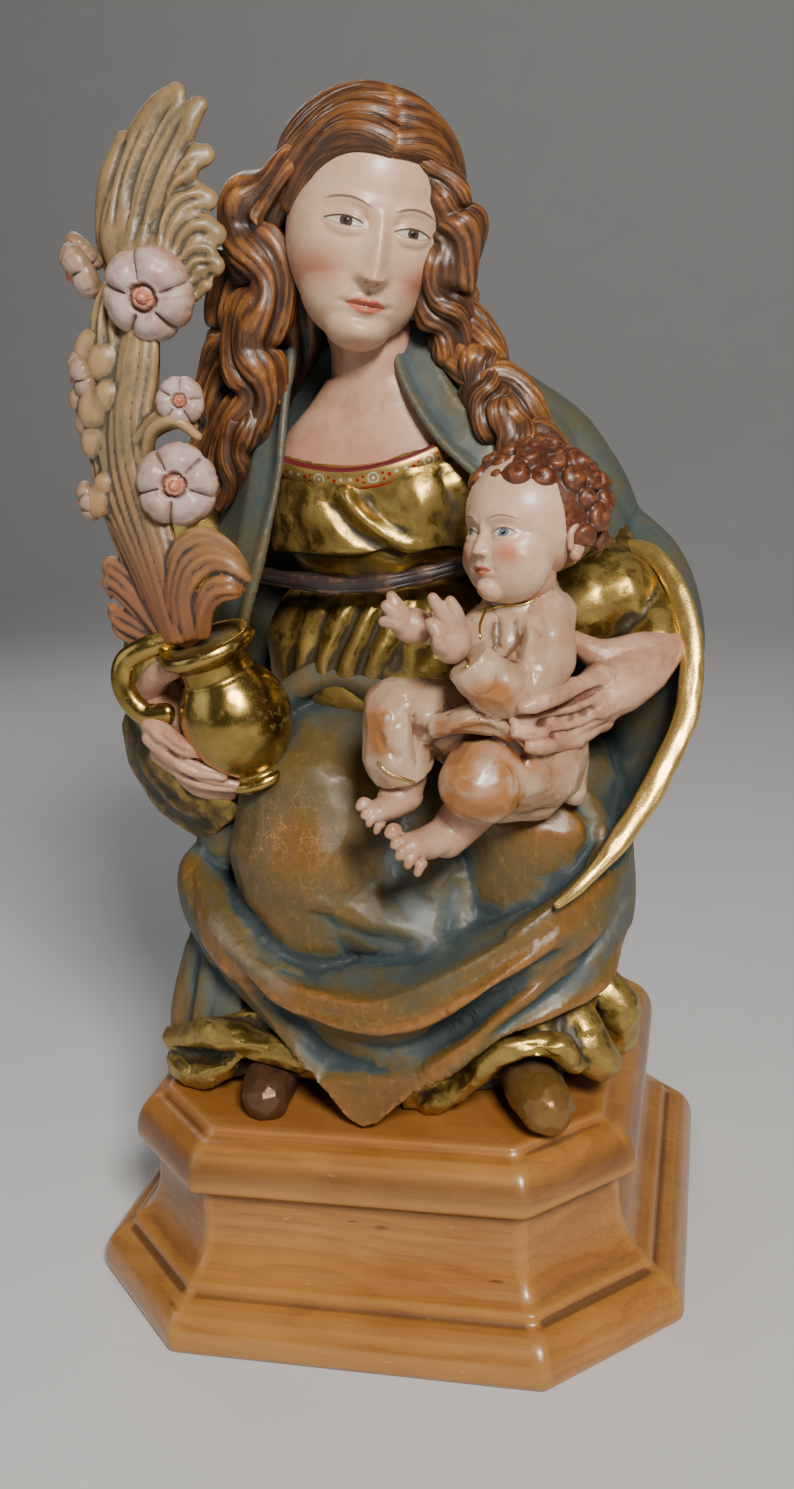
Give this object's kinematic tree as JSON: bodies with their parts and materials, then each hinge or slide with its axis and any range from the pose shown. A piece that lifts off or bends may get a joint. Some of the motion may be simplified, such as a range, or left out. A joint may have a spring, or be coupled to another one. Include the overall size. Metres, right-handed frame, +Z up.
{
  "type": "wooden saint statue",
  "caption": "Carved and painted wooden statue of a seated mother holding a child and a vase of flowers, on a moulded eight-sided wooden plinth.",
  "frame": {"origin": "middle of the plinth's underside", "axes": "+Z up, -Y towards the front that the mother faces, +X to the viewer's right"},
  "size_m": [0.18, 0.178, 0.3379],
  "materials": {
    "painted_wood": "painted, gilded and waxed, worn on the high places",
    "plinth_wood": "waxed, satin"
  },
  "bodies": {
    "root": {"figure": "painted_wood", "plinth": "plinth_wood"}
  },
  "joints": []
}
